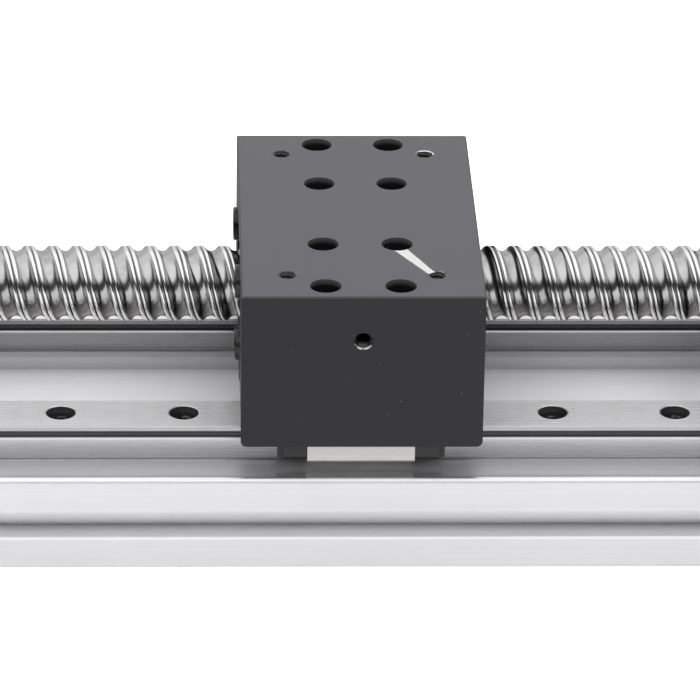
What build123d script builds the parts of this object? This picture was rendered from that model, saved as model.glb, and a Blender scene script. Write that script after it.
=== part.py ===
from build123d import *
import os

# Manual linear stage, in millimetres: X along the travel, Y across it, Z up.
# The origin is the centre of the base's underside, and the screw axis is at Y = 0.

# Base extrusion
base_length = 190
base_width = 80
base_height = 20
pad_height = 2.6  # the rail pads stand this far above the floor between them
pad_lip = 2.8  # the pads reach this far inside the rails
base_edge_radius = 1.1
groove_top = 7.2  # side groove's upper edge, below the pads
groove_shelf = 13.3  # side groove's flat shelf, below the pads
groove_depth = 6
groove_edge = 0.4
foot_width = 22  # the two strips that the base stands on
foot_height = 1
base_mount_x = 120
base_mount_y = 56
base_mount_radius = 2.1  # M5 tapping drill
base_mount_depth = 8

# Profile rails, each with one ball groove in either flank
rail_to_side = 15  # rail's middle from the side of the base
rail_width = 12
rail_height = 7.5
rail_length = 170
rail_pitch = 25
rail_end_margin = 10
rail_edge = 0.35
rail_counterbore_radius = 3
rail_counterbore_depth = 4.5
race_radius = 1.05
race_height = 5.5  # ball centres above the rail's foot
race_offset = 0.5  # ball centres outside the rail's flank

# Rail blocks
block_length = 21.7
block_width = 27
block_height = 13  # top face above the rail's foot
block_gap = 3  # underside above the rail's foot
block_edge = 0.5
block_hole_x = 15
block_hole_y = 20
cap_length = 5
cap_inset = 0.2  # the end caps are this much smaller all round
cap_corner = 1
seal_thickness = 1
seal_inset = 0.5
rail_clearance = 0.35

# Carriage block
carriage_rest = 10.6  # its centre at rest, off the middle of the base
carriage_length = 48.6
carriage_overhang = 0.25  # past the base on each side
carriage_height = 33.2
carriage_above_pads = 40.65
carriage_edge = 0.35
carriage_foot_radius = 1.2
pocket_clearance = 0.2
counterbore_radius = 3.15
counterbore_depth = 10.95
table_hole_x = 30
table_hole_y = 60
table_hole_radius = 1.65  # M4 tapping drill
table_hole_depth = 10
front_hole_below_top = 9.5

# Ball screw and nut
screw_height = 24.9  # axis above the pads
screw_radius = 7.8
screw_end_gap = 1  # the thread stops this far short of each end plate
nut_radius = 12
nut_length = 36
nut_bore_clearance = 0.2
nut_flange_radius = 20
nut_flange_height = 24
nut_flange_thickness = 5
nut_recess = 3  # flange face below the carriage's end face

# End plates
plate_top_below_carriage = 0.65
plate_corner = 3
tail_plate_thickness = 14
plate_wall = 6  # between the base and a bearing
plate_screw_radius = 4.45  # counterbores for M5 heads
plate_screw_sink = 5.5
plate_screw_spacing = 48
plate_screw_height = 9.2
bumper_radius = 5
bumper_y = 30
bumper_z = 46
bumper_length = 7.7  # leaves 125 of travel, and 0.5 to each bumper

# Bearings: a double-row one at the drive end, a single-row one at the tail
drive_bearing_bore = 5
drive_bearing_inner = 6.7
drive_bearing_outer = 9.3
drive_bearing_radius = 11
tail_bearing_bore = 4
tail_bearing_inner = 5.4
tail_bearing_outer = 7.9
tail_bearing_radius = 9.5
drive_bearing_width = 12
tail_bearing_width = 6
seat_clearance = 0.02
turning_gap = 0.3

# Bearing cover, sleeve and lock nut
cover_width = 44
cover_height = 27
cover_corner = 5
cover_thickness = 4
cover_bore_radius = 7.4
lock_nut_radius = 9
lock_nut_width = 6
lock_nut_flats = 16
tail_stub = 1.5

# Handwheel and crank grip
journal_radius = 4
hub_radius = 9
hub_length = 8
hub_gap = 1.5
wheel_radius = 31.5
rim_thickness = 4.5
rim_lip = 5  # the rim stands this far in front of the web
web_thickness = 6
crank_radius = 18.5
grip_length = 36
grip_radius = 8.5
grip_neck_radius = 6.5
grip_neck_length = 3
grip_bore_radius = 3.6
grip_bolt_radius = 3.5
grip_head_radius = 5
grip_head_height = 3

# Places worked out from the sizes above
rail_spacing = base_width - 2 * rail_to_side
carriage_width = base_width + 2 * carriage_overhang
end_x = base_length / 2
floor_z = base_height - pad_height
rail_top = base_height + rail_height
block_top = base_height + block_height
carriage_top = base_height + carriage_above_pads
carriage_bottom = carriage_top - carriage_height
carriage_left = carriage_rest - carriage_length / 2
axis_z = base_height + screw_height
plate_top = carriage_top - plate_top_below_carriage
rail_holes = round((rail_length - 2 * rail_end_margin) / rail_pitch) + 1
nut_face = carriage_left + nut_recess
nut_shoulder = nut_face + nut_flange_thickness
nut_end = nut_shoulder + nut_length
drive_seat = end_x + plate_wall
drive_plate_end = drive_seat + drive_bearing_width
cover_end = drive_plate_end + cover_thickness
lock_nut_start = cover_end + 0.5
lock_nut_end = lock_nut_start + lock_nut_width
hub_start = lock_nut_end + hub_gap
web_start = hub_start + hub_length
web_end = web_start + web_thickness
rim_end = web_end + rim_lip
tail_seat = -end_x - plate_wall
tail_bearing_end = tail_seat - tail_bearing_width
tail_plate_end = -end_x - tail_plate_thickness
crank_z = axis_z - crank_radius
grip_start = web_end + turning_gap
grip_end = grip_start + grip_length
head_seat = grip_end - grip_head_height - turning_gap
screw_axis = Axis((0, 0, axis_z), (1, 0, 0))
crank_axis = Axis((0, 0, crank_z), (1, 0, 0))


def across(x, z=0, y=0):
    # A plane square to the travel, its local axes along Y and Z.
    return Plane(origin=(x, y, z), x_dir=(0, 1, 0), z_dir=(1, 0, 0))


def facing_left(x, z=0, y=0):
    return Plane(origin=(x, y, z), x_dir=(0, -1, 0), z_dir=(-1, 0, 0))


def lengthwise(z):
    # An upright plane along the travel, its local axes along X and Z.
    return Plane(origin=(0, 0, z), x_dir=(1, 0, 0), z_dir=(0, -1, 0))


def finish(piece, name):
    piece.part.label = name
    export_step(piece.part, f"parts/{name}.step")


os.makedirs("parts", exist_ok=True)

# Base extrusion: rail pads, side grooves with a slanted roof, and two feet
with BuildPart() as base_profile:
    half = base_width / 2
    pad_inner = rail_spacing / 2 - rail_width / 2 - pad_lip
    with BuildSketch(across(-end_x)):
        with BuildLine():
            Polyline(
                (0, foot_height),
                (half - foot_width, foot_height),
                (half - foot_width, 0),
                (half, 0),
                (half, base_height - groove_shelf),
                (half - groove_depth, base_height - groove_shelf),
                (half, base_height - groove_top),
                (half, base_height),
                (pad_inner, base_height),
                (pad_inner, floor_z),
                (0, floor_z),
            )
            mirror(about=Plane.YZ)
        make_face()
    extrude(amount=base_length)
    flanks = base_profile.edges().filter_by(Axis.X).group_by(Axis.Y)
    chamfer(flanks[0].sort_by(Axis.Z)[:3] + flanks[-1].sort_by(Axis.Z)[:3], length=groove_edge)
    pad_edges = base_profile.edges().filter_by(Axis.X).group_by(Axis.Z)[-1].sort_by(Axis.Y)
    fillet([pad_edges[0], pad_edges[-1]], radius=base_edge_radius)
    with Locations(Plane.XY.rotated((180, 0, 0))):
        with GridLocations(base_mount_x, base_mount_y, 2, 2):
            Hole(base_mount_radius, base_mount_depth)
finish(base_profile, "base_profile")

# Rails
for name, side in (("rail_front", -1), ("rail_rear", 1)):
    rail_y = side * rail_spacing / 2
    with BuildPart() as rail:
        with BuildSketch(across(-rail_length / 2, base_height, rail_y)) as section:
            Rectangle(rail_width, rail_height, align=(Align.CENTER, Align.MIN))
            chamfer(section.vertices(), length=rail_edge)
            with Locations((0, race_height)):
                with GridLocations(rail_width + 2 * race_offset, 1, 2, 1):
                    Circle(race_radius, mode=Mode.SUBTRACT)
        extrude(amount=rail_length)
        with Locations((0, rail_y, rail_top)):
            with GridLocations(rail_pitch, 1, rail_holes, 1):
                Hole(rail_counterbore_radius, rail_counterbore_depth)
    finish(rail, name)

# Rail blocks: a steel saddle wrapped round the rail, with a ball race facing each rail groove
for name, side in (("rail_block_front", -1), ("rail_block_rear", 1)):
    rail_y = side * rail_spacing / 2
    with BuildPart() as block:
        with BuildSketch(across(carriage_rest - block_length / 2, base_height, rail_y)) as section:
            with Locations((0, block_gap)):
                Rectangle(block_width, block_height - block_gap, align=(Align.CENTER, Align.MIN))
            chamfer(section.vertices(), length=block_edge)
            Rectangle(
                rail_width + 2 * rail_clearance,
                rail_height + rail_clearance,
                align=(Align.CENTER, Align.MIN),
                mode=Mode.SUBTRACT,
            )
            with Locations((0, race_height)):
                with GridLocations(rail_width + 2 * race_offset, 1, 2, 1):
                    Circle(race_radius, mode=Mode.SUBTRACT)
        extrude(amount=block_length)
    finish(block, name)


def block_ends(start, length, inset, gap):
    # The same outline at both ends of both blocks, open below for the rail.
    with BuildPart() as ends:
        for side in (-1, 1):
            for x in (carriage_rest - start - length, carriage_rest + start):
                with BuildSketch(across(x, base_height, side * rail_spacing / 2)) as section:
                    with Locations((0, block_gap + inset)):
                        Rectangle(
                            block_width - 2 * inset,
                            block_height - block_gap - 2 * inset,
                            align=(Align.CENTER, Align.MIN),
                        )
                    chamfer(section.vertices(), length=cap_corner)
                    Rectangle(
                        rail_width + 2 * gap,
                        rail_height + gap,
                        align=(Align.CENTER, Align.MIN),
                        mode=Mode.SUBTRACT,
                    )
                extrude(amount=length)
    return ends


finish(block_ends(block_length / 2, cap_length, cap_inset, 2 * rail_clearance), "block_end_caps")
finish(
    block_ends(block_length / 2 + cap_length, seal_thickness, seal_inset, rail_clearance),
    "block_end_seals",
)

# Carriage block: one solid machined from the bar, with a pocket over each rail block
with BuildPart() as carriage_block:
    with BuildSketch(Plane.XY.offset(carriage_bottom)):
        with Locations((carriage_rest, 0)):
            Rectangle(carriage_length, carriage_width)
    extrude(amount=carriage_height)
    foot_edges = carriage_block.edges().filter_by(Axis.Y).group_by(Axis.Z)[0]
    fillet(foot_edges, radius=carriage_foot_radius)
    chamfer(carriage_block.faces().sort_by(Axis.Z)[-1].edges(), length=carriage_edge)
    with BuildSketch(across(carriage_left)):
        with Locations((0, carriage_bottom)):
            with GridLocations(rail_spacing, 1, 2, 1):
                Rectangle(
                    block_width + 2 * pocket_clearance,
                    block_top - carriage_bottom,
                    align=(Align.CENTER, Align.MIN),
                )
    extrude(amount=carriage_length, mode=Mode.SUBTRACT)
    with BuildSketch(across(carriage_left, axis_z)):
        Circle(nut_radius + seat_clearance)
    extrude(amount=carriage_length, mode=Mode.SUBTRACT)
    with BuildSketch(across(carriage_left, axis_z)):
        Circle(nut_flange_radius + pocket_clearance)
        Rectangle(
            2 * nut_flange_radius + 2,
            nut_flange_height + 2 * pocket_clearance,
            mode=Mode.INTERSECT,
        )
    extrude(amount=nut_recess + nut_flange_thickness, mode=Mode.SUBTRACT)
    with Locations((carriage_rest, 0, carriage_top)):
        with GridLocations(1, rail_spacing, 1, 2):
            with GridLocations(block_hole_x, block_hole_y, 2, 2):
                Hole(counterbore_radius, counterbore_depth)
        with GridLocations(table_hole_x, table_hole_y, 2, 2):
            Hole(table_hole_radius, table_hole_depth)
    front_hole = Plane(
        origin=(carriage_rest, -carriage_width / 2, carriage_top - front_hole_below_top),
        x_dir=(1, 0, 0),
        z_dir=(0, -1, 0),
    )
    with Locations(front_hole):
        Hole(table_hole_radius, table_hole_depth)
finish(carriage_block, "carriage_block")

# Ball nut: flange let into the carriage's left face, body in the carriage's bore
with BuildPart() as ball_nut:
    with BuildSketch(across(nut_face, axis_z)):
        Circle(nut_flange_radius)
        Rectangle(2 * nut_flange_radius + 2, nut_flange_height, mode=Mode.INTERSECT)
    extrude(amount=nut_flange_thickness)
    with BuildSketch(across(nut_shoulder, axis_z)):
        Circle(nut_radius)
    extrude(amount=nut_length)
    with BuildSketch(across(nut_face, axis_z)):
        Circle(screw_radius + nut_bore_clearance)
    extrude(amount=nut_end - nut_face, mode=Mode.SUBTRACT)
finish(ball_nut, "ball_nut")

# Ball screw: bearing seats, lock-nut thread and handwheel journal turned on its ends
with BuildPart() as ball_screw:
    thread_end = end_x - screw_end_gap
    tail_end = tail_bearing_end - tail_stub
    with BuildSketch(lengthwise(axis_z)):
        with BuildLine():
            Polyline(
                (tail_end, 0),
                (tail_end, tail_bearing_bore),
                (tail_seat, tail_bearing_bore),
                (tail_seat, tail_bearing_inner),
                (-thread_end, tail_bearing_inner),
                (-thread_end, screw_radius),
                (thread_end, screw_radius),
                (thread_end, drive_bearing_inner),
                (drive_seat, drive_bearing_inner),
                (drive_seat, drive_bearing_bore),
                (lock_nut_end, drive_bearing_bore),
                (lock_nut_end, journal_radius),
                (web_end, journal_radius),
                (web_end, 0),
                close=True,
            )
        make_face()
    revolve(axis=screw_axis)
finish(ball_screw, "ball_screw")

# End plates: each holds its bearings in a pocket bored from the outer side
with BuildPart() as drive_end_plate:
    with BuildSketch(across(end_x)) as face:
        Rectangle(base_width, plate_top, align=(Align.CENTER, Align.MIN))
        fillet(face.vertices().group_by(Axis.Y)[-1], radius=plate_corner)
        with Locations((0, axis_z)):
            Circle(drive_bearing_inner + turning_gap, mode=Mode.SUBTRACT)
    extrude(amount=drive_plate_end - end_x)
    with BuildSketch(across(drive_seat, axis_z)):
        Circle(drive_bearing_radius + seat_clearance)
    extrude(amount=drive_plate_end - drive_seat, mode=Mode.SUBTRACT)
    with Locations(across(drive_plate_end, plate_screw_height)):
        with GridLocations(plate_screw_spacing, 1, 2, 1):
            Hole(plate_screw_radius, plate_screw_sink)
finish(drive_end_plate, "drive_end_plate")

with BuildPart() as tail_end_plate:
    with BuildSketch(facing_left(-end_x)) as face:
        Rectangle(base_width, plate_top, align=(Align.CENTER, Align.MIN))
        fillet(face.vertices().group_by(Axis.Y)[-1], radius=plate_corner)
        with Locations((0, axis_z)):
            Circle(tail_bearing_inner + turning_gap, mode=Mode.SUBTRACT)
    extrude(amount=tail_plate_thickness)
    with BuildSketch(facing_left(tail_seat, axis_z)):
        Circle(tail_bearing_radius + seat_clearance)
    extrude(amount=tail_seat - tail_plate_end, mode=Mode.SUBTRACT)
    with Locations(facing_left(tail_plate_end, plate_screw_height)):
        with GridLocations(plate_screw_spacing, 1, 2, 1):
            Hole(plate_screw_radius, plate_screw_sink)
finish(tail_end_plate, "tail_end_plate")

with BuildPart() as bumpers:
    for wall in (facing_left(end_x, bumper_z), across(-end_x, bumper_z)):
        with BuildSketch(wall):
            with GridLocations(2 * bumper_y, 1, 2, 1):
                Circle(bumper_radius)
        extrude(amount=bumper_length)
finish(bumpers, "bumpers")


# Bearings: outer rings in the plates, inner rings on the screw
drive_bearing = (drive_bearing_bore, drive_bearing_inner, drive_bearing_outer, drive_bearing_radius)
tail_bearing = (tail_bearing_bore, tail_bearing_inner, tail_bearing_outer, tail_bearing_radius)
bearing_places = (
    (drive_seat, drive_bearing_width, drive_bearing),
    (tail_bearing_end, tail_bearing_width, tail_bearing),
)
with BuildPart() as bearing_outer_rings:
    for x, width, (bore, inner, outer, radius) in bearing_places:
        with BuildSketch(across(x, axis_z)):
            Circle(radius)
            Circle(outer, mode=Mode.SUBTRACT)
        extrude(amount=width)
finish(bearing_outer_rings, "bearing_outer_rings")

with BuildPart() as bearing_inner_rings:
    for x, width, (bore, inner, outer, radius) in bearing_places:
        with BuildSketch(across(x, axis_z)):
            Circle(inner)
            Circle(bore + seat_clearance, mode=Mode.SUBTRACT)
        extrude(amount=width)
finish(bearing_inner_rings, "bearing_inner_rings")

# Bearing cover: clamps the drive bearing's outer ring
with BuildPart() as bearing_cover:
    with BuildSketch(across(drive_plate_end, axis_z)):
        RectangleRounded(cover_width, cover_height, cover_corner)
        Circle(cover_bore_radius, mode=Mode.SUBTRACT)
    extrude(amount=cover_thickness)
finish(bearing_cover, "bearing_cover")

with BuildPart() as spacer_sleeve:
    with BuildSketch(across(drive_plate_end, axis_z)):
        Circle(drive_bearing_inner)
        Circle(drive_bearing_bore + seat_clearance, mode=Mode.SUBTRACT)
    extrude(amount=lock_nut_start - drive_plate_end)
finish(spacer_sleeve, "spacer_sleeve")

with BuildPart() as lock_nut:
    with BuildSketch(across(lock_nut_start, axis_z)):
        Circle(lock_nut_radius)
        Rectangle(lock_nut_flats, 2 * lock_nut_radius, mode=Mode.INTERSECT)
        Circle(drive_bearing_bore + seat_clearance, mode=Mode.SUBTRACT)
    extrude(amount=lock_nut_width)
finish(lock_nut, "lock_nut")

# Handwheel: hub at the back, disc dished at the front
with BuildPart() as handwheel:
    with BuildSketch(lengthwise(axis_z)):
        with BuildLine():
            Polyline(
                (hub_start, journal_radius + seat_clearance),
                (hub_start, hub_radius),
                (web_start, hub_radius),
                (web_start, wheel_radius),
                (rim_end, wheel_radius),
                (rim_end, wheel_radius - rim_thickness),
                (web_end, wheel_radius - rim_thickness),
                (web_end, journal_radius + seat_clearance),
                close=True,
            )
        make_face()
    revolve(axis=screw_axis)
    with Locations(across(web_end, crank_z)):
        Hole(grip_bolt_radius + seat_clearance, web_thickness)
finish(handwheel, "handwheel")

# Crank grip, free to turn on its shoulder bolt
with BuildPart() as crank_grip:
    with BuildSketch(lengthwise(crank_z)):
        with BuildLine():
            Polyline(
                (grip_start, grip_bore_radius),
                (grip_start, grip_neck_radius),
                (grip_start + grip_neck_length, grip_neck_radius),
                (grip_start + grip_neck_length, grip_radius),
                (grip_end, grip_radius),
                (grip_end, grip_head_radius + turning_gap),
                (head_seat, grip_head_radius + turning_gap),
                (head_seat, grip_bore_radius),
                close=True,
            )
        make_face()
    revolve(axis=crank_axis)
finish(crank_grip, "crank_grip")

with BuildPart() as grip_bolt:
    with BuildSketch(across(web_start, crank_z)):
        Circle(grip_bolt_radius)
    extrude(amount=head_seat + turning_gap - web_start)
    with BuildSketch(across(head_seat + turning_gap, crank_z)):
        Circle(grip_head_radius)
    extrude(amount=grip_head_height)
finish(grip_bolt, "grip_bolt")
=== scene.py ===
import bpy, bmesh, math
from mathutils import Matrix, Vector


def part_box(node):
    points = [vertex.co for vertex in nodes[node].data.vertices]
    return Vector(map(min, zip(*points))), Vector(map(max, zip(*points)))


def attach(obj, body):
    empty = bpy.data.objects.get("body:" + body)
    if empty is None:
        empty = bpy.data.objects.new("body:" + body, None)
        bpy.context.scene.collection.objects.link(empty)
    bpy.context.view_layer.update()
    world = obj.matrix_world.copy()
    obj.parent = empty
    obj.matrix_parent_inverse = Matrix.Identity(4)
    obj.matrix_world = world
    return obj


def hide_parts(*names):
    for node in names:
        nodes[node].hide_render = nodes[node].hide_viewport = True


# Hand-driven linear stage: everything is in metres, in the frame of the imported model
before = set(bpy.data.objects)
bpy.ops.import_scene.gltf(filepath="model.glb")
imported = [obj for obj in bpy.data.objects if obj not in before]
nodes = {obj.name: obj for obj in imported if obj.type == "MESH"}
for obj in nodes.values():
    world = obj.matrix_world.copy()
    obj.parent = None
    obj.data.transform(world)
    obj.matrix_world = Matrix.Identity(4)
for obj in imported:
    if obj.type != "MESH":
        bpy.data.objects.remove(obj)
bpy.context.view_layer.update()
mm = 0.001

baseLow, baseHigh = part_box("base_profile")
railLow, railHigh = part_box("rail_front")
carriageLow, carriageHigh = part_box("carriage_block")
screwLow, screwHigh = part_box("ball_screw")
nutLow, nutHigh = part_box("ball_nut")
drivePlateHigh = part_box("drive_end_plate")[1]
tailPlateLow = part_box("tail_end_plate")[0]
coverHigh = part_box("bearing_cover")[1]
wheelLow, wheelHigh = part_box("handwheel")
gripLow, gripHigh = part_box("crank_grip")
axisZ = (screwLow.z + screwHigh.z) / 2
gripZ = (gripLow.z + gripHigh.z) / 2
carriageX = (carriageLow.x + carriageHigh.x) / 2
railY = -(railLow.y + railHigh.y) / 2
print("frame loaded:", len(nodes), "nodes")


class Value:
    # a socket that turns sums written in Python into Math nodes
    def __init__(self, finish, socket):
        self.finish = finish
        self.socket = socket

    def math(self, operation, *values):
        inputs = dict(enumerate(values))
        return self.finish.add("ShaderNodeMath", {"operation": operation}, inputs)

    def __add__(self, other):
        return self.math("ADD", self, other)

    def __radd__(self, other):
        return self.math("ADD", other, self)

    def __sub__(self, other):
        return self.math("SUBTRACT", self, other)

    def __rsub__(self, other):
        return self.math("SUBTRACT", other, self)

    def __mul__(self, other):
        return self.math("MULTIPLY", self, other)

    def __rmul__(self, other):
        return self.math("MULTIPLY", other, self)

    def __truediv__(self, other):
        return self.math("DIVIDE", self, other)

    def __rtruediv__(self, other):
        return self.math("DIVIDE", other, self)

    def __pow__(self, other):
        return self.math("POWER", self, other)

    def __gt__(self, other):
        return self.math("GREATER_THAN", self, other)

    def __lt__(self, other):
        return self.math("LESS_THAN", self, other)

    def abs(self):
        return self.math("ABSOLUTE", self)

    def max(self, other):
        return self.math("MAXIMUM", self, other)

    def min(self, other):
        return self.math("MINIMUM", self, other)

    def rise(self, start, end):
        # 0 before start, 1 past end, with a soft step between them
        return self.finish.add("ShaderNodeMapRange", {"interpolation_type": "SMOOTHSTEP"},
                               {"Value": self, "From Min": start, "From Max": end})


class Nodes:
    # a node tree: add() makes any node in it
    def __init__(self, tree):
        self.tree = tree

    def add(self, kind, settings=None, inputs=None, output=0):
        node = self.tree.nodes.new(kind)
        for name, value in (settings or {}).items():
            if name == "stops":
                ramp = node.color_ramp
                while len(ramp.elements) < len(value):
                    ramp.elements.new(0.5)
                for element, (position, shade) in zip(ramp.elements, value):
                    element.position = position
                    element.color = (shade, shade, shade, 1)
            else:
                setattr(node, name, value)
        for name, value in (inputs or {}).items():
            if isinstance(value, Value):
                self.tree.links.new(value.socket, node.inputs[name])
            else:
                node.inputs[name].default_value = value
        return Value(self, node.outputs[output])

    def axis(self, vector, letter):
        return self.add("ShaderNodeSeparateXYZ", None, {0: vector}, letter)

    def mix(self, factor, a, b):
        return self.add("ShaderNodeMix", {"data_type": "RGBA"}, {0: factor, 6: a, 7: b}, 2)

    def blend(self, factor, a, b):
        return self.add("ShaderNodeMix", {"data_type": "FLOAT"}, {0: factor, 2: a, 3: b})

    def ramp(self, value, *stops):
        return self.add("ShaderNodeValToRGB", {"stops": stops}, {"Fac": value})


class Finish(Nodes):
    # one material, with short ways to the nodes that most finishes use
    def __init__(self, name, **fixed):
        self.material = bpy.data.materials.new(name)
        self.material.use_nodes = True
        super().__init__(self.material.node_tree)
        self.shader = self.tree.nodes["Principled BSDF"]
        for socket, value in fixed.items():
            self.shader.inputs[socket.replace("_", " ")].default_value = value
        self.place = self.add("ShaderNodeTexCoord", output="Object")

    def feed(self, **values):
        for socket, value in values.items():
            self.tree.links.new(value.socket, self.shader.inputs[socket.replace("_", " ")])

    def noise(self, scale, detail=3, roughness=0.55, place=None):
        if place is None:
            place = self.add("ShaderNodeVectorMath", {"operation": "MULTIPLY"}, {0: self.place, 1: scale})
        inputs = {"Vector": place, "Scale": 1, "Detail": detail, "Roughness": roughness}
        return self.add("ShaderNodeTexNoise", None, inputs, "Fac")

    def bump(self, height, strength, depth):
        normal = self.add("ShaderNodeBump", None, {"Height": height, "Strength": strength, "Distance": depth})
        self.feed(Normal=normal)


def grey(level, warm=0.0):
    return (level + warm, level, level - warm, 1)


def newPiece(name, body, verts, faces, finish, slot, smooth=40):
    mesh = bpy.data.meshes.new(name)
    mesh.from_pydata([tuple(v) for v in verts], [], faces)
    tidy = bmesh.new()
    tidy.from_mesh(mesh)
    bmesh.ops.remove_doubles(tidy, verts=tidy.verts, dist=1e-6)
    bmesh.ops.recalc_face_normals(tidy, faces=tidy.faces)
    tidy.to_mesh(mesh)
    tidy.free()
    mesh.shade_smooth()
    mesh.set_sharp_from_angle(angle=math.radians(smooth))
    mesh.materials.append(finish.material)
    piece = bpy.data.objects.new(name, mesh)
    bpy.context.scene.collection.objects.link(piece)
    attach(piece, body)
    return piece


def ringsToMesh(rings, closed=False):
    # joins rings of equal length into quads, and closes both ends unless they meet
    count = len(rings[0])
    verts = [point for ring in rings for point in ring]
    faces = []
    last = len(rings) if closed else len(rings) - 1
    for i in range(last):
        a, b = i * count, (i + 1) % len(rings) * count
        for j in range(count):
            k = (j + 1) % count
            faces.append((a + j, a + k, b + k, b + j))
    if not closed:
        faces.append(tuple(range(count)))
        faces.append(tuple(reversed(range((len(rings) - 1) * count, len(rings) * count))))
    return verts, faces


def hexReach(angle, across):
    # distance from a hexagon's centre to its edge in that direction
    turn = math.radians(60)
    return across / 2 / math.cos((angle + turn / 2) % turn - turn / 2)


def lathe(profile, centre, along, segments=96, hexagons=(), closed=False):
    # profile is (distance along, radius); rings listed in hexagons are six-sided of that width
    along = Vector(along).normalized()
    side = along.orthogonal().normalized()
    up = along.cross(side)
    rings = []
    for i, (distance, radius) in enumerate(profile):
        ring = []
        for j in range(segments):
            angle = 2 * math.pi * j / segments
            reach = hexReach(angle, radius) if i in hexagons else radius
            outward = side * math.cos(angle) + up * math.sin(angle)
            ring.append(Vector(centre) + along * distance + outward * reach)
        rings.append(ring)
    return ringsToMesh(rings, closed)


def joinMeshes(parts):
    verts, faces = [], []
    for partVerts, partFaces in parts:
        start = len(verts)
        verts.extend(partVerts)
        faces.extend(tuple(index + start for index in face) for face in partFaces)
    return verts, faces


def corner(distance, radius, bend, steps=4):
    # rounded outer corner of a turned piece: from its side, round to its end face
    points = []
    for i in range(steps + 1):
        angle = math.pi / 2 * (1 - i / steps)
        points.append((distance - bend + bend * math.cos(angle), radius - bend + bend * math.sin(angle)))
    return points


def capHead(radius, height, socket, centre, along):
    # socket-head screw seen from its top: domed edge, chamfered hexagon socket with a cone below
    edge = 0.1 * height
    profile = [(0, 0.3 * radius), (0, radius - edge / 2), (edge / 2, radius)]
    profile += corner(height, radius, edge)
    profile += [(height, socket * 0.64), (height - 0.08 * socket, socket * 0.575)]
    hexagons = [len(profile), len(profile) + 1]
    profile += [(height - 0.12 * socket, socket), (height * 0.45, socket), (height * 0.38, 0.02 * radius)]
    return lathe(profile, centre, along, 48, hexagons)


def soften(name, width, angle=30):
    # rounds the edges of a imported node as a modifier, its own points stay where they are
    node = nodes[name]
    weld = node.modifiers.new("weld", "WELD")
    weld.merge_threshold = 1e-6
    bevel = node.modifiers.new("edges", "BEVEL")
    bevel.width = width
    bevel.segments = 2
    bevel.limit_method = "ANGLE"
    bevel.angle_limit = math.radians(angle)
    bevel.harden_normals = True
    bevel.miter_outer = "MITER_ARC"
    mesh = node.data
    if "custom_normal" in mesh.attributes:
        mesh.attributes.remove(mesh.attributes["custom_normal"])
    mesh.shade_smooth()


def dress(finish, *names):
    for name in names:
        mesh = nodes[name].data
        mesh.materials.clear()
        mesh.materials.append(finish.material)


# Finishes
def makeDrawnAluminium():
    look = {
        "colour": (0.785, 0.783, 0.80, 1), "dark": (0.71, 0.71, 0.722, 1), "fine": 9000, "broad": 1400,
        "metal": 0.3, "sidePaintedShade": 0.13, "padPaintedShade": 0.06, "padMetal": 0.5, "padGloss": 0.08,
    }
    finish = Finish("drawnAluminium")
    y, z = finish.axis(finish.place, "Y"), finish.axis(finish.place, "Z")
    normal = finish.add("ShaderNodeTexCoord", output="Normal")
    facing = finish.axis(normal, "Y") < -0.9
    # the strip of each rail pad outside its rail is shinier than the rest, and its colour carries painted
    # shade
    pad = (finish.axis(normal, "Z") > 0.9) * (y.abs() > railY + 5 * mm) * (z > baseHigh.z - 1 * mm)
    fine = finish.noise((6, look["fine"], look["fine"]), 4, 0.6)
    broad = finish.noise((2, look["broad"], look["broad"]), 2)
    stain = finish.noise((60, 160, 160), 4)
    wide = finish.noise((1, 500, 500), 3)
    lines = fine * 0.4 + broad * 0.3 + wide * 0.3
    shade = finish.ramp(lines * 0.8 + stain * 0.2, (0.36, 0.0), (0.62, 1.0))
    tone = finish.mix(shade, look["dark"], look["colour"])
    # painted shade: faces that look to the front and the pad strips are darkened towards grey(0.1)
    tone = finish.mix(facing * look["sidePaintedShade"] + pad * look["padPaintedShade"], tone, grey(0.1))
    finish.feed(Base_Color=tone, Metallic=look["metal"] + pad * look["padMetal"])
    finish.feed(Roughness=finish.ramp(lines, (0.3, 0.3), (0.7, 0.2)) - pad * look["padGloss"])
    finish.bump(lines, 0.08, 0.00003)
    return finish


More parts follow.
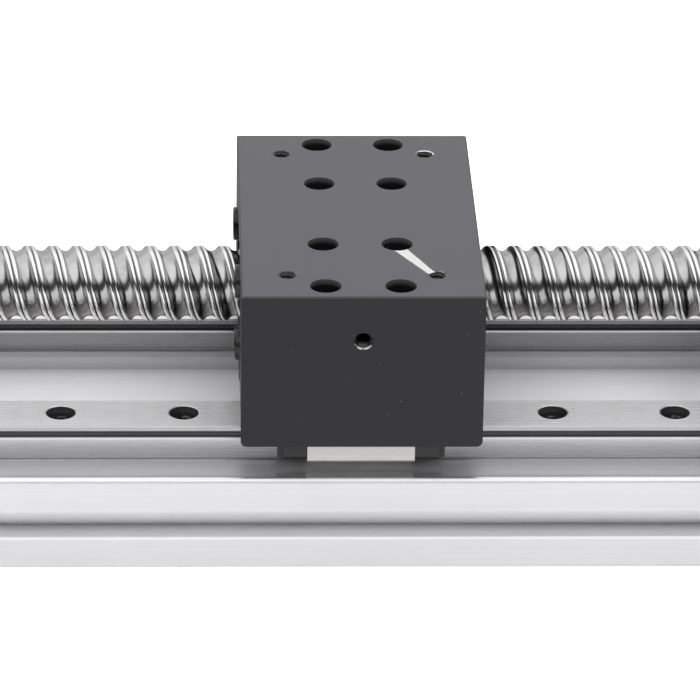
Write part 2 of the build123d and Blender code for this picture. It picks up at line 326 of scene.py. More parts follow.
def makeGroundSteel(name, colour, dark, rough, rail=False):
    finish = Finish(name, Metallic=0.55)
    fine = finish.noise((25, 7000, 7000), 4, 0.65)
    cloud = finish.noise((90, 260, 260), 5, 0.6)
    speckle = 0.35
    shade = finish.ramp(fine * (1 - speckle) + cloud * speckle, (0.34, 0.0), (0.6, 1.0))
    tone = finish.mix(shade, dark, colour)
    chamfer = 0
    if rail:
        # painted shade on the ball groove, on the flanks (more on the rear rail) and on the screw holes'
        # walls; a dark joint at the foot
        look = {
            "groove": railHigh.z - 2.05 * mm, "groovePaintedShade": (0.06, 0.056, 0.058, 1), "halfPitch": 12.5 * mm,
            "hole": 3 * mm, "wide": 0.3 * mm,
        }
        x, y, z = (finish.axis(finish.place, letter) for letter in "XYZ")
        facing = finish.axis(finish.add("ShaderNodeTexCoord", output="Normal"), "Y")
        rear = y > 0
        near = (z - look["groove"]).abs()
        lower = (facing < -0.9) * (0.2 + rear * 0.35) * near.rise(0.95 * mm, 1.2 * mm) * (z < look["groove"])
        upper = (facing < -0.3) * (0.4 + rear * 0.2) * (z > look["groove"])
        foot = (facing < -0.9) * z.rise(railLow.z + 0.38 * mm, railLow.z + 0.2 * mm)
        # painted shade: the flanks below and above the ball groove are darkened, more on the rear rail, with
        # a dark joint at the foot
        tone = finish.mix(lower.max(upper).max(foot), tone, grey(0.05))
        # painted shade: the band along the ball groove is darkened
        tone = finish.mix(near.rise(0.75 * mm, 0.6 * mm), tone, look["groovePaintedShade"])
        along = x.math("PINGPONG", x, look["halfPitch"])
        across = y.abs() - railY
        reach = (along * along + across * across) ** 0.5 - look["hole"]
        onTop = z > railHigh.z - 0.05 * mm
        chamfer = reach.max(0).min(look["wide"]) * onTop
        # painted shade: the walls of the screw holes are darkened
        tone = finish.mix((reach < 0.05 * mm) * (1 - onTop) * 0.9, tone, grey(0.1))
    finish.feed(Base_Color=tone)
    finish.feed(Roughness=finish.ramp(fine, (0.3, rough + 0.06), (0.7, rough - 0.03)))
    finish.bump(fine * 0.000003 + chamfer, 1.0, 1.0)
    return finish


def makePolishedSteel():
    look = {
        "land": grey(0.8), "race": grey(0.48), "oilAndShade": grey(0.155, 0.01), "lowerShadeShare": 0.92,
        "rough": 0.09, "raceRough": 0.06, "crest": 7.8 * mm,
    }
    finish = Finish("polishedSteel", Metallic=1.0)
    streak = finish.noise((500, 90, 90), 4, 0.65)
    film = finish.noise((160, 160, 160), 4, 0.6)
    wear = finish.ramp(film, (0.50, 0.0), (0.74, 0.5))
    y, z = finish.axis(finish.place, "Y"), finish.axis(finish.place, "Z") - axisZ
    depth = look["crest"] - (y * y + z * z) ** 0.5
    land = depth.rise(0.4 * mm, 0.1 * mm)
    lowerShade = z.rise(1.5 * mm, -3.5 * mm) * look["lowerShadeShare"]  # painted shade: the lower half is darkened towards the oil colour
    tone = finish.mix(wear.max(lowerShade), look["race"], look["oilAndShade"])
    # the race is coloured darker than the lands: a duller rolled finish, and painted shade in the groove
    finish.feed(Base_Color=finish.mix(land, tone, look["land"]))
    rough = finish.ramp(streak * 0.6 + film * 0.4, (0.35, look["rough"]), (0.65, look["rough"] + 0.12))
    finish.feed(Roughness=rough + (1 - land) * look["raceRough"])
    finish.bump(streak, 0.14, 0.00003)
    return finish


def makeBlackAnodised():
    look = {
        "colour": (0.0072, 0.0068, 0.009, 1), "pale": (0.011, 0.0104, 0.0134, 1),
        "top": (0.062, 0.061, 0.071, 1), "wallPaintedLight": grey(0.11), "bareAndHighlight": grey(0.93), "rough": 0.38,
    }
    streak = {
        "x": 18.5 * mm, "y": -17.2 * mm, "long": 13.0 * mm, "turn": -63,
        "wide": 1.35 * mm, "narrow": 0.72 * mm, "torn": 0.5 * mm,
    }
    rim = {"hole": 1.65 * mm, "wide": 0.42 * mm, "x": 15 * mm, "y": 30 * mm, "frontDown": 9.5 * mm}
    finish = Finish("blackAnodised", IOR=1.4)
    x, y, z = (finish.axis(finish.place, letter) for letter in "XYZ")
    normal = finish.add("ShaderNodeTexCoord", output="Normal")
    upward = finish.axis(normal, "Z").rise(0.5, 0.9)
    mill = finish.noise((900, 40, 900), 3, 0.6)
    cloud = finish.noise((45, 45, 45), 5, 0.6)
    grain = finish.noise((1500, 1500, 1500), 2, 0.5)
    torn = finish.noise((700, 700, 700), 4, 0.7)
    onTop = z > carriageHigh.z - 0.05 * mm

    # worn streak from a counterbore to the front tapped hole on the right
    cosine, sine = math.cos(math.radians(streak["turn"])), math.sin(math.radians(streak["turn"]))
    fromX, fromY = x - streak["x"], y - streak["y"]
    along = (fromX * cosine + fromY * sine) / streak["long"]
    aside = (fromY * cosine - fromX * sine).abs() + (torn - 0.5) * streak["torn"]
    width = streak["wide"] - along * (streak["wide"] - streak["narrow"])
    worn = aside.rise(width + 0.1 * mm, width - 0.1 * mm) * (along > -0.02) * (along < 1.0) * onTop

    # chamfered mouths of the tapped holes, with bare metal where the tap broke through the anodising; the
    # bare metal is put only on the side of each mouth that catches the light, strongest on the rear right
    # hole, so it is partly a painted highlight
    holeX = (x - carriageX).abs() - rim["x"]
    holeY = y.abs() - rim["y"]
    reach = (holeX * holeX + holeY * holeY) ** 0.5 - rim["hole"]
    frontX, frontZ = x - carriageX, z - (carriageHigh.z - rim["frontDown"])
    frontReach = (frontX * frontX + frontZ * frontZ) ** 0.5 - rim["hole"]
    onFront = y < carriageLow.y + 0.05 * mm
    ring = (reach < rim["wide"]) * onTop
    frontRing = (frontReach < rim["wide"]) * onFront
    share = 0.2 + (x > carriageX) * 0.35 + (x > carriageX) * (y > 0) * 0.4
    upper = (holeY * ((y > 0) * 2 - 1)).rise(-0.6 * mm, 0.6 * mm)
    # partly painted highlight: bare metal only on the lit half of each mouth, stronger on the right and rear
    baredAndHighlight = torn.rise(0.6 - share * 0.2, 0.64 - share * 0.2) * ring * upper * share
    frontBaredAndHighlight = torn.rise(0.4, 0.5) * frontRing * frontZ.rise(-0.5 * mm, -1.5 * mm) * 0.6
    specks = finish.ramp(grain, (0.765, 0.0), (0.785, 0.12))
    bareAndHighlight = worn.max(baredAndHighlight).max(frontBaredAndHighlight)
    chamfer = reach.max(0).min(rim["wide"]) * onTop
    chamfer = chamfer + frontReach.max(0).min(rim["wide"]) * onFront

    # painted light: the upper part of the counterbores' walls is coloured lighter
    inside = ((x - carriageX).abs() < 23 * mm) * (y.abs() < 39.5 * mm) * (1 - upward) * (1 - onTop)
    wallPaintedLight = inside * z.rise(carriageHigh.z - 1.5 * mm, carriageHigh.z - 0.2 * mm)

    shade = finish.ramp(cloud * 0.7 + mill * 0.3, (0.32, 0.0), (0.7, 1.0))
    colour = finish.mix(shade, look["colour"], look["pale"])
    # painted light: upward faces are coloured much lighter than the sides
    colour = finish.mix(upward * (0.85 + shade * 0.15), colour, look["top"])
    colour = finish.mix(wallPaintedLight, colour, look["wallPaintedLight"])
    colour = finish.mix(bareAndHighlight.max(specks), colour, look["bareAndHighlight"])
    finish.feed(Base_Color=colour, Metallic=bareAndHighlight)
    rough = finish.ramp(cloud * 0.5 + mill * 0.5, (0.3, look["rough"] - 0.03), (0.7, look["rough"] + 0.05))
    finish.feed(Roughness=rough)
    finish.bump(mill * 0.0000016 + chamfer, 1.0, 1.0)
    return finish


def makeBlackOxide():
    look = {"dark": (0.02, 0.02, 0.022, 1), "pale": (0.07, 0.068, 0.068, 1)}
    finish = Finish("blackOxide", Metallic=0.75)
    cloud = finish.noise((700, 700, 700), 4, 0.6)
    shade = finish.ramp(cloud, (0.35, 0.0), (0.7, 1.0))
    finish.feed(Base_Color=finish.mix(shade, look["dark"], look["pale"]))
    finish.feed(Roughness=finish.ramp(cloud, (0.3, 0.16), (0.7, 0.3)))
    finish.bump(cloud, 0.06, 0.00003)
    return finish


def makeMoulded(name, level, rough, grain):
    finish = Finish(name, IOR=1.5)
    fine = finish.noise((grain, grain, grain), 3, 0.5)
    cloud = finish.noise((120, 120, 120), 3, 0.5)
    shade = finish.ramp(cloud, (0.3, 0.0), (0.7, 1.0))
    finish.feed(Base_Color=finish.mix(shade, grey(level), grey(level * 1.7 + 0.004)))
    finish.feed(Roughness=finish.ramp(fine, (0.3, rough - 0.05), (0.7, rough + 0.06)))
    finish.bump(fine, 0.25, 0.00003)
    return finish


def makeTurned(name, bright, dark, rough, centreZ):
    # tool marks that run round an axis along X
    finish = Finish(name, Metallic=1.0)
    pitch = 9000
    x, y, z = (finish.axis(finish.place, letter) for letter in "XYZ")
    z = z - centreZ
    reach = (y * y + z * z) ** 0.5
    place = finish.add("ShaderNodeCombineXYZ", None, {"X": x * pitch, "Y": reach * pitch})
    rings = finish.noise(None, 3, 0.6, place)
    cloud = finish.noise((140, 140, 140), 4, 0.6)
    shade = finish.ramp(rings * 0.6 + cloud * 0.4, (0.34, 0.0), (0.64, 1.0))
    finish.feed(Base_Color=finish.mix(shade, grey(dark), grey(bright)))
    finish.feed(Roughness=finish.ramp(rings, (0.3, rough + 0.07), (0.7, rough - 0.04)))
    finish.bump(rings, 0.12, 0.00003)
    return finish


drawnAluminium = makeDrawnAluminium()
railSteel = makeGroundSteel("railSteel", (0.76, 0.755, 0.77, 1), (0.68, 0.675, 0.69, 1), 0.26, True)
blockSteel = makeGroundSteel("blockSteel", (0.55, 0.54, 0.52, 1), (0.46, 0.45, 0.43, 1), 0.3)
polishedSteel = makePolishedSteel()
blackAnodised = makeBlackAnodised()
blackOxide = makeBlackOxide()
capPlastic = makeMoulded("capPlastic", 0.009, 0.5, 3500)
sealRubber = makeMoulded("sealRubber", 0.018, 0.68, 2500)
gripPlastic = makeMoulded("gripPlastic", 0.012, 0.22, 900)
wheelAluminium = makeTurned("wheelAluminium", 0.6, 0.5, 0.3, axisZ)
turnedSteel = makeTurned("turnedSteel", 0.5, 0.38, 0.26, axisZ)
boltSteel = makeTurned("boltSteel", 0.55, 0.45, 0.28, gripZ)
springSteel = makeGroundSteel("springSteel", (0.16, 0.16, 0.17, 1), (0.08, 0.08, 0.085, 1), 0.35)
print("finishes ready")

dress(drawnAluminium, "base_profile")
dress(railSteel, "rail_front", "rail_rear")
dress(blockSteel, "rail_block_front", "rail_block_rear")
dress(blackAnodised, "carriage_block", "drive_end_plate", "tail_end_plate", "bearing_cover")
dress(capPlastic, "block_end_caps")
dress(sealRubber, "block_end_seals")
dress(turnedSteel, "ball_nut", "bearing_outer_rings", "bearing_inner_rings", "spacer_sleeve")
edgeWidths = {
    "base_profile": 0.06, "rail_front": 0.08, "rail_rear": 0.08, "rail_block_front": 0.08,
    "rail_block_rear": 0.08, "carriage_block": 0.16, "drive_end_plate": 0.3, "tail_end_plate": 0.3,
    "bearing_cover": 0.25, "block_end_caps": 0.15, "block_end_seals": 0.1, "ball_nut": 0.2,
    "spacer_sleeve": 0.1,
}
for name, width in edgeWidths.items():
    soften(name, width * mm)


# Ball screw: two starts, a round race between lands of two rolled lips with a seam between them
def makeBallScrew():
    thread = {
        "spacing": 5 * mm, "starts": 2, "crest": 7.8 * mm, "raceDepth": 1.1 * mm, "halfLand": 0.98 * mm,
        "lipMiddle": 0.52 * mm, "lipDrop": 0.26 * mm, "seamWidth": 0.22 * mm, "seamDepth": 0.22 * mm,
        "crestAt": 3.08 * mm, "crestAngle": 64, "around": 96, "endChamfer": 0.8 * mm, "endGap": 1 * mm,
    }
    ends = {
        "wall": 6 * mm, "cover": 6.5 * mm, "driveShoulder": 6.7 * mm, "driveSeat": 5 * mm, "journal": 4 * mm,
        "tailShoulder": 5.4 * mm, "tailSeat": 4 * mm, "tailLong": 6 * mm, "ringGroove": 0.8 * mm,
        "edge": 0.3 * mm, "centre": 1.2 * mm,
    }
    spacing, crest, halfLand = thread["spacing"], thread["crest"], thread["halfLand"]
    lead = spacing * thread["starts"]
    halfRace = spacing / 2 - halfLand
    raceDepth = thread["raceDepth"] - thread["lipDrop"]
    raceRadius = (halfRace ** 2 + raceDepth ** 2) / 2 / raceDepth

    def radiusAt(distance):
        # distance along the axis from the middle of a land
        away = abs((distance + spacing / 2) % spacing - spacing / 2)
        if away < halfLand:
            lip = (away - thread["lipMiddle"]) / (halfLand - thread["lipMiddle"])
            seam = max(0.0, 1 - away / thread["seamWidth"])
            return crest - thread["lipDrop"] * lip ** 2 - thread["seamDepth"] * seam
        sag = math.sqrt(max(0.0, raceRadius ** 2 - (spacing / 2 - away) ** 2)) - raceRadius + raceDepth
        return crest - thread["lipDrop"] - sag

    # profile points from the middle of a land to the middle of a race
    side = [0.08, 0.16, 0.24, 0.3, 0.38, 0.5, 0.62, 0.74, 0.84, 0.92, 0.98]
    side += [1.04, 1.12, 1.25, 1.45, 1.7, 1.95, 2.25]
    side = [distance * mm for distance in side]
    stations = [0] + side + [spacing / 2] + [spacing - distance for distance in reversed(side)]
    perTurn, around = len(stations), thread["around"]
    threadStart = baseLow.x + thread["endGap"]
    threadEnd = baseHigh.x - thread["endGap"]
    phase = thread["crestAt"] - lead * thread["crestAngle"] / 360
    firstLand = math.floor((threadStart - phase) / spacing) - 3
    lastLand = math.ceil((threadEnd - phase) / spacing) + 1
    rows = (lastLand - firstLand) * perTurn
    verts, faces = [], []
    for i in range(rows):
        land, station = divmod(i, perTurn)
        for j in range(around):
            free = phase + (firstLand + land) * spacing + stations[station] + lead * j / around
            x = min(max(free, threadStart), threadEnd)
            fromEnd = min(x - threadStart, threadEnd - x)
            radius = min(radiusAt(x - phase - lead * j / around), crest - thread["endChamfer"] + fromEnd)
            angle = 2 * math.pi * j / around
            verts.append((x, radius * math.cos(angle), axisZ + radius * math.sin(angle)))
    wrap = perTurn * thread["starts"]
    for i in range(rows - 1):
        for j in range(around):
            k, step = (j + 1) % around, (wrap if j == around - 1 else 0)
            if i + 1 + step < rows:
                here, there = i * around + j, (i + step) * around + k
                faces.append((here, there, there + around, here + around))
    kept = [f for f in faces if max(verts[v][0] for v in f) - min(verts[v][0] for v in f) > 1e-7]

    shoulder = crest - thread["endChamfer"] + 0.02 * mm
    bearingEnd = coverHigh.x + ends["cover"]
    driveSeat = baseHigh.x + ends["wall"]
    tailSeat = baseLow.x - ends["wall"]
    tailEnd = tailSeat - ends["tailLong"]
    grooveEnd = tailEnd - ends["ringGroove"]
    edge, centre, point = ends["edge"], ends["centre"], 0.1 * mm
    driveShoulder, bearing, journal = ends["driveShoulder"], ends["driveSeat"], ends["journal"]
    tailShoulder, tail = ends["tailShoulder"], ends["tailSeat"]
    driveProfile = [
        (threadEnd - 2 * mm, 3 * mm), (threadEnd - 2 * mm, shoulder - 1 * mm), (threadEnd, shoulder - 1 * mm),
        (threadEnd, shoulder), (threadEnd, driveShoulder), (driveSeat, driveShoulder), (driveSeat, bearing),
        (bearingEnd - edge, bearing), (bearingEnd, bearing - edge), (bearingEnd, journal),
        (screwHigh.x - 0.4 * mm, journal), (screwHigh.x, journal - 0.4 * mm), (screwHigh.x, centre),
        (screwHigh.x - centre, point),
    ]
    tailProfile = [
        (threadStart + 2 * mm, 3 * mm), (threadStart, 5 * mm), (threadStart, shoulder),
        (threadStart, tailShoulder), (tailSeat, tailShoulder), (tailSeat, tail), (tailEnd, tail),
        (tailEnd, tail - edge), (grooveEnd, tail - edge), (grooveEnd, tail), (screwLow.x + edge, tail),
        (screwLow.x, tail - edge), (screwLow.x, centre), (screwLow.x + centre, point),
    ]
    turned = [lathe(profile, (0, 0, axisZ), (1, 0, 0), 64) for profile in (driveProfile, tailProfile)]
    verts, faces = joinMeshes([(verts, kept)] + turned)
    piece = newPiece("ballScrewThread", "screw", verts, faces, polishedSteel, "screw_steel", 50)
    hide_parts("ball_screw")


makeBallScrew()
print("ball screw made")


# Socket-head screws of the rails, blocks, nut, cover and end plates
def makeHeads(name, body, screw, places):
    parts = []
    for centre, along in places:
        parts.append(capHead(screw["head"], screw["height"], screw["socket"], centre, along))
    newPiece(name, body, *joinMeshes(parts), blackOxide, "black_screw")


def makeScrews():
    signs = (-1, 1)
    up = (0, 0, 1)
    railScrew = {
        "head": 2.75 * mm, "height": 3 * mm, "socket": 2.5 * mm, "sink": 4.48 * mm,
        "pitch": 25 * mm, "count": 7,
    }
    places = []
    for side in signs:
        for i in range(railScrew["count"]):
            x = (i - (railScrew["count"] - 1) / 2) * railScrew["pitch"]
            places.append(((x, side * railY, railHigh.z - railScrew["sink"]), up))
    makeHeads("railScrewHeads", "base", railScrew, places)

    blockScrew = {
        "head": 2.75 * mm, "height": 3 * mm, "socket": 2.5 * mm, "sink": 10.93 * mm,
        "x": 7.5 * mm, "y": 10 * mm,
    }
    z = carriageHigh.z - blockScrew["sink"]
    places = []
    for side in signs:
        for sx in signs:
            for sy in signs:
                x, y = carriageX + sx * blockScrew["x"], side * railY + sy * blockScrew["y"]
                places.append(((x, y, z), up))
    makeHeads("blockScrewHeads", "carriage", blockScrew, places)

    nutScrew = {"head": 3.5 * mm, "height": 4 * mm, "socket": 3 * mm, "y": 14.2 * mm, "z": 7 * mm}
    x = nutLow.x - 0.01 * mm
    places = []
    for sy in signs:
        for sz in signs:
            places.append(((x, sy * nutScrew["y"], axisZ + sz * nutScrew["z"]), (-1, 0, 0)))
    makeHeads("nutScrewHeads", "carriage", nutScrew, places)

    coverScrew = {"head": 2.75 * mm, "height": 3 * mm, "socket": 2.5 * mm, "y": 17 * mm, "z": 8.5 * mm}
    places = []
    for sy in signs:
        for sz in signs:
            places.append(((coverHigh.x, sy * coverScrew["y"], axisZ + sz * coverScrew["z"]), (1, 0, 0)))
    makeHeads("coverScrewHeads", "base", coverScrew, places)

    plateScrew = {
        "head": 4.25 * mm, "height": 5 * mm, "socket": 4 * mm, "y": 24 * mm, "z": 9.2 * mm, "sink": 5.48 * mm,
    }
    places = []
    for face, along in ((drivePlateHigh.x, 1), (tailPlateLow.x, -1)):
        for side in signs:
            centre = (face - along * plateScrew["sink"], side * plateScrew["y"], plateScrew["z"])
            places.append((centre, (along, 0, 0)))
    makeHeads("plateScrewHeads", "base", plateScrew, places)


makeScrews()
print("screws made")


# Handwheel, crank grip, lock nut and bumpers
def makeHandwheel():
    wheel = {
        "bore": 4.02 * mm, "hub": 9 * mm, "hubLong": 8 * mm, "web": 6 * mm,
        "rimDeep": 4.5 * mm, "round": 1.8 * mm,
    }
    hubStart, rimEnd = wheelLow.x, wheelHigh.x
    webStart = hubStart + wheel["hubLong"]
    webEnd = webStart + wheel["web"]
    outer = (wheelHigh.y - wheelLow.y) / 2
    inner = outer - wheel["rimDeep"]
    bend, small, tiny = wheel["round"], 0.6 * mm, 0.2 * mm
    quarter = [math.radians(a) for a in (0, 22, 45, 68, 90)]
    profile = [(hubStart, wheel["bore"]), (hubStart, wheel["hub"] - small), (hubStart + small, wheel["hub"]),
               (webStart - small, wheel["hub"]), (webStart, wheel["hub"] + small)]
    profile += [(webStart + bend - bend * math.cos(a), outer - bend + bend * math.sin(a)) for a in quarter]
    profile += [(rimEnd - bend + bend * math.sin(a), outer - bend + bend * math.cos(a)) for a in quarter]
    profile += [(rimEnd, inner + small), (rimEnd - tiny, inner + tiny), (rimEnd - small, inner),
                (webEnd + 2 * small, inner), (webEnd + small, inner - tiny), (webEnd + tiny, inner - small),
                (webEnd, inner - 2 * small), (webEnd, wheel["bore"] + 2 * tiny),
                (webEnd - 2 * tiny, wheel["bore"])]
    verts, faces = lathe(profile, (0, 0, axisZ), (1, 0, 0), 144, closed=True)
    piece = newPiece("handwheelTurned", "screw", verts, faces, wheelAluminium, "wheel_aluminium", 35)
    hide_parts("handwheel")
    clamp = {"radius": 2 * mm, "socket": 2 * mm, "long": 2.5 * mm, "proud": 0.12 * mm, "deep": 1.6 * mm}
    proud, socket = clamp["proud"], clamp["socket"]
    profile = [(-clamp["long"], clamp["radius"]), (proud, clamp["radius"] - tiny), (proud, socket * 0.6),
               (0.05 * mm, socket), (-clamp["deep"], socket), (-clamp["deep"] - tiny, 0.05 * mm)]
    place = ((hubStart + webStart) / 2, 0, axisZ + wheel["hub"])
    verts, faces = lathe(profile, place, (0, 0, 1), 36, (3, 4))
    newPiece("hubClampScrew", "screw", verts, faces, blackOxide, "black_screw")


def makeGrip():
    grip = {
        "bore": 3.6 * mm, "neck": 6.5 * mm, "neckLong": 3 * mm, "shoulder": 1.6 * mm, "end": 1.4 * mm,
        "recess": 5.3 * mm, "sink": 3.3 * mm,
    }
    bolt = {"shank": 3.5 * mm, "edge": 0.4 * mm, "head": 5 * mm, "headDeep": 3 * mm, "socket": 5 * mm}
    length = gripHigh.x - gripLow.x
    radius = (gripHigh.z - gripLow.z) / 2
    neck, start, shoulder = grip["neck"], grip["neckLong"], grip["shoulder"]
    quarter = [math.radians(a) for a in (0, 15, 30, 45, 60, 75, 90)]
    profile = [(0, grip["bore"]), (0, neck - 0.4 * mm), (0.4 * mm, neck), (start, neck)]
    for a in quarter:
        distance = start + shoulder - shoulder * math.cos(a)
        profile.append((distance, radius - shoulder + shoulder * math.sin(a)))
    profile += corner(length, radius, grip["end"], 6)
    recess, sunk = grip["recess"], length - grip["sink"]
    profile += [(length, recess + 0.5 * mm), (length - 0.1 * mm, recess + 0.2 * mm),
                (length - 0.4 * mm, recess), (sunk, recess), (sunk, grip["bore"])]
    verts, faces = lathe(profile, (gripLow.x, 0, gripZ), (1, 0, 0), 72, closed=True)
    piece = newPiece("crankGripMoulded", "grip", verts, faces, gripPlastic, "grip_plastic", 35)
    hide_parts("crank_grip")
    boltLow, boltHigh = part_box("grip_bolt")
    shankEnd = boltHigh.x - boltLow.x - bolt["headDeep"] + 0.1 * mm
    shank, edge = bolt["shank"], bolt["edge"]
    shank = lathe([(0, shank - edge), (edge, shank), (shankEnd, shank)], (boltLow.x, 0, gripZ), (1, 0, 0), 40)
    headPlace = (boltHigh.x - bolt["headDeep"], 0, gripZ)
    head = capHead(bolt["head"], bolt["headDeep"], bolt["socket"], headPlace, (1, 0, 0))
    piece = newPiece("gripBoltTurned", "screw", *joinMeshes([shank, head]), boltSteel, "bolt_steel")
    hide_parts("grip_bolt")


def makeLockNut():
    low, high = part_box("lock_nut")
    nut = {"bore": 5.05 * mm, "edge": 0.5 * mm, "boreEdge": 0.4 * mm, "count": 72}
    radius, wide = (high.z - low.z) / 2, (high.y - low.y) / 2
    bore, edge, boreEdge, count = (nut[key] for key in ("bore", "edge", "boreEdge", "count"))
    turns = [(math.cos(2 * math.pi * j / count), math.sin(2 * math.pi * j / count)) for j in range(count)]
    rings = []
    for x, cut in ((low.x, edge), (low.x + edge, 0), (high.x - edge, 0), (high.x, edge)):
        ring = []
        for cosine, sine in turns:
            reach = min(radius - cut, (wide - 0.3 * cut) / max(1e-6, abs(cosine)))
            ring.append(Vector((x, reach * cosine, axisZ + reach * sine)))
        rings.append(ring)
    for x, reach in ((high.x, bore + boreEdge), (high.x - boreEdge, bore), (low.x, bore)):
        rings.append([Vector((x, reach * cosine, axisZ + reach * sine)) for cosine, sine in turns])
    verts, faces = ringsToMesh(rings, closed=True)
    piece = newPiece("lockNutTurned", "screw", verts, faces, turnedSteel, "nut_steel", 30)
    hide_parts("lock_nut")


def makeBumpers():
    low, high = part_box("bumpers")
    bumper = {
        "radius": 5 * mm, "long": 7.7 * mm, "round": 1.2 * mm, "hole": 1.3 * mm, "holeDeep": 1.2 * mm,
        "y": 30 * mm,
    }
    z, length = (low.z + high.z) / 2, bumper["long"]
    holeEnd = length - bumper["holeDeep"]
    profile = [(0, 2 * mm), (0, bumper["radius"])] + corner(length, bumper["radius"], bumper["round"], 6)
    profile += [(length, bumper["hole"]), (holeEnd, bumper["hole"]), (holeEnd, 0.1 * mm)]
    parts = []
    for face, along in ((baseHigh.x, -1), (baseLow.x, 1)):
        for side in (-1, 1):
            parts.append(lathe(profile, (face, side * bumper["y"], z), (along, 0, 0), 48))
    piece = newPiece("bumperRubber", "base", *joinMeshes(parts), sealRubber, "seal_rubber")
    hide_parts("bumpers")


# Bearing shield and retaining ring, seen in the tail plate's bore, and the nut's wipers
def makeTailEnd():
    shield = {
        "outer": 7.85 * mm, "inner": 5.6 * mm, "face": baseLow.x - 12 * mm, "sink": 0.35 * mm,
        "dome": 0.15 * mm, "thick": 0.3 * mm,
    }
    outer, inner, dome, thick = (shield[key] for key in ("outer", "inner", "dome", "thick"))
    profile = [(0, outer), (dome / 3, outer - 0.4 * mm), (dome, outer - 0.8 * mm), (dome, inner + 0.5 * mm),
               (0, inner), (-thick, inner), (-thick, outer)]
    verts, faces = lathe(profile, (shield["face"] + shield["sink"], 0, axisZ), (-1, 0, 0), 72, closed=True)
    newPiece("tailBearingShield", "base", verts, faces, turnedSteel, "bearing_steel")
    ring = {"outer": 5.6 * mm, "inner": 3.75 * mm, "thick": 0.8 * mm, "gap": 50, "count": 56}
    near = shield["face"] - 0.02 * mm
    far = near - ring["thick"]
    section = [(near, ring["inner"]), (near, ring["outer"]), (far, ring["outer"]), (far, ring["inner"])]
    rings = []
    for i in range(ring["count"] + 1):
        angle = math.radians(-90 + ring["gap"] / 2 + (360 - ring["gap"]) * i / ring["count"])
        y, z = math.cos(angle), math.sin(angle)
        rings.append([Vector((x, reach * y, axisZ + reach * z)) for x, reach in section])
    newPiece("retainingRing", "screw", *ringsToMesh(rings), springSteel, "spring_steel", 30)


def makeWipers():
    wiper = {"outer": 9.6 * mm, "inner": 7.9 * mm, "proud": 0.15 * mm, "edge": 0.1 * mm, "deep": 0.5 * mm}
    outer, inner, proud, edge, deep = (wiper[key] for key in ("outer", "inner", "proud", "edge", "deep"))
    profile = [(-deep, outer), (proud - edge, outer), (proud, outer - edge), (proud, inner + 5 * edge),
               (proud - edge, inner), (-deep, inner)]
    parts = []
    for face, along in ((nutLow.x, -1), (nutHigh.x, 1)):
        parts.append(lathe(profile, (face, 0, axisZ), (along, 0, 0), 72, closed=True))
    newPiece("nutWipers", "carriage", *joinMeshes(parts), capPlastic, "black_plastic")


makeHandwheel()
makeGrip()
makeLockNut()
makeBumpers()
makeTailEnd()
makeWipers()
print("end pieces made")


# Thread in the carriage's tapped holes
def makeTappedHoles():
    hole = {
        "radius": 1.62 * mm, "ridge": 0.2 * mm, "pitch": 0.7 * mm, "depth": 7 * mm, "start": 0.45 * mm,
        "x": 15 * mm, "y": 30 * mm, "frontDown": 9.5 * mm, "around": 32,
    }
    section = [(-0.34, 0.0), (-0.08, -1.0), (0.08, -1.0), (0.34, 0.0)]
    around, turns = hole["around"], round(hole["depth"] / hole["pitch"])
    places = []
    for sx in (-1, 1):
        for sy in (-1, 1):
            places.append(((carriageX + sx * hole["x"], sy * hole["y"], carriageHigh.z), (0, 0, -1)))
    places.append(((carriageX, carriageLow.y, carriageHigh.z - hole["frontDown"]), (0, 1, 0)))
    parts = []
    for centre, along in places:
        along = Vector(along)
        side = along.orthogonal().normalized()
        up = along.cross(side)
        verts, faces = [], []
        for i in range(turns * around + 1):
            angle = 2 * math.pi * i / around
            outward = side * math.cos(angle) + up * math.sin(angle)
            for shift, height in section:
                distance = hole["start"] + hole["pitch"] * (i / around + shift)
                reach = hole["radius"] + hole["ridge"] * height
                verts.append(Vector(centre) + along * distance + outward * reach)
        for i in range(turns * around):
            for k in range(3):
                a, b = i * 4 + k, (i + 1) * 4 + k
                faces.append((a, a + 1, b + 1, b))
        parts.append((verts, faces))
    newPiece("tappedThreads", "carriage", *joinMeshes(parts), blackOxide, "black_anodised", 25)


makeTappedHoles()
print("tapped holes made")


# Floor, light and camera
def makeFloor():
    # slightly self-lit, so that it stays white beside the base
    floor = {"half": 4.0, "z": -0.0002, "glow": 0.33}
    mesh = bpy.data.meshes.new("studioFloor")
    h, z = floor["half"], floor["z"]
    mesh.from_pydata([(-h, -h, z), (h, -h, z), (h, h, z), (-h, h, z)], [], [(0, 1, 2, 3)])
    piece = bpy.data.objects.new("studioFloor", mesh)
    bpy.context.scene.collection.objects.link(piece)
    glow = {"Emission_Color": (1, 1, 1, 1), "Emission_Strength": floor["glow"]}
    finish = Finish("studioFloor", Roughness=0.9, **glow)
    cloud = finish.noise((3, 3, 3), 2)
    finish.feed(Base_Color=finish.mix(cloud, grey(0.9), grey(0.93)))
    mesh.materials.append(finish.material)
    piece.visible_glossy = False


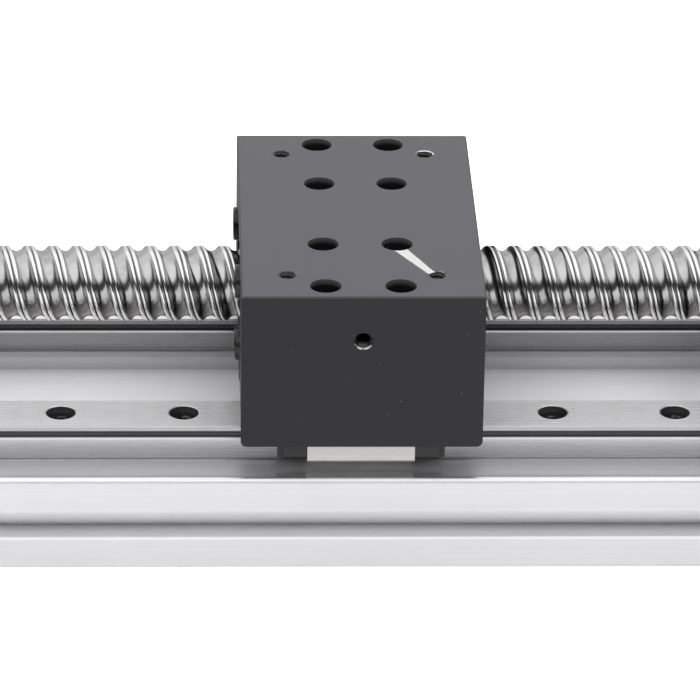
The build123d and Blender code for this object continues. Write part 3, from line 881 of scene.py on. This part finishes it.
def makeSky():
    # the room that shiny parts mirror: bright above, a dark band in front, pale ground below the horizon
    sky = {"above": 1.15, "box": 1.4, "back": 0.78, "low": 0.06, "near": 1.22, "far": 0.5}
    world = bpy.data.worlds.new("studio")
    bpy.context.scene.world = world
    world.use_nodes = True
    room = Nodes(world.node_tree)
    direction = room.add("ShaderNodeTexCoord", output="Generated")
    y, z = room.axis(direction, "Y"), room.axis(direction, "Z")
    box = y.rise(0.3, -0.1) * z.rise(0.5, 0.66)
    back = y.rise(0.62, 0.84)
    low = z.rise(0.6, 0.38) * y.rise(0.45, 0.1)
    level = room.blend(box, sky["above"], sky["box"])
    level = room.blend(back, level, sky["back"])
    level = room.blend(low, level, sky["low"])
    ground = room.blend(y.rise(0.1, 0.5), sky["near"], sky["far"])
    level = room.blend(z.rise(0.02, -0.04), level, ground)
    world.node_tree.links.new(level.socket, world.node_tree.nodes["Background"].inputs["Color"])


def makeLamps():
    # soft boxes for the floor and matt surfaces: place, width, depth and watts
    boxes = {
        "softBack": ((0.0, 0.8, 1.1), 1.6, 0.8, 18),
        "softFront": ((0.0, -0.95, 1.0), 1.6, 0.8, 3),
    }
    for name, (place, width, depth, power) in boxes.items():
        data = bpy.data.lights.new(name, "AREA")
        data.shape = "RECTANGLE"
        data.size, data.size_y = width, depth
        data.energy = power
        lamp = bpy.data.objects.new(name, data)
        bpy.context.scene.collection.objects.link(lamp)
        lamp.location = place
        aim = Vector((0, 0, 0.03)) - Vector(place)
        lamp.rotation_euler = aim.to_track_quat("-Z", "Y").to_euler()
        lamp.visible_camera = False
        lamp.visible_glossy = False


def makeCamera():
    shot = {
        "lens": 276.6, "pitch": 25.805, "yaw": -2.205, "roll": 0.944, "place": (-0.02914, -1.00317, 0.51500),
    }
    pitch, yaw, roll = (math.radians(shot[k]) for k in ("pitch", "yaw", "roll"))
    level = Vector((math.cos(yaw), math.sin(yaw), 0))
    ahead = Vector((-math.sin(yaw) * math.cos(pitch), math.cos(yaw) * math.cos(pitch), -math.sin(pitch)))
    above = level.cross(ahead)
    right = level * math.cos(roll) + above * math.sin(roll)
    up = above * math.cos(roll) - level * math.sin(roll)
    turn = Matrix((right, up, -ahead)).transposed()
    data = bpy.data.cameras.new("camera")
    data.lens = shot["lens"]
    data.sensor_width = 36
    data.clip_start, data.clip_end = 0.05, 20
    camera = bpy.data.objects.new("camera", data)
    bpy.context.scene.collection.objects.link(camera)
    camera.matrix_world = Matrix.Translation(Vector(shot["place"])) @ turn.to_4x4()
    bpy.context.scene.camera = camera


makeFloor()
makeSky()
makeLamps()
makeCamera()
bpy.context.scene.view_settings.view_transform = "Standard"
print("studio ready")
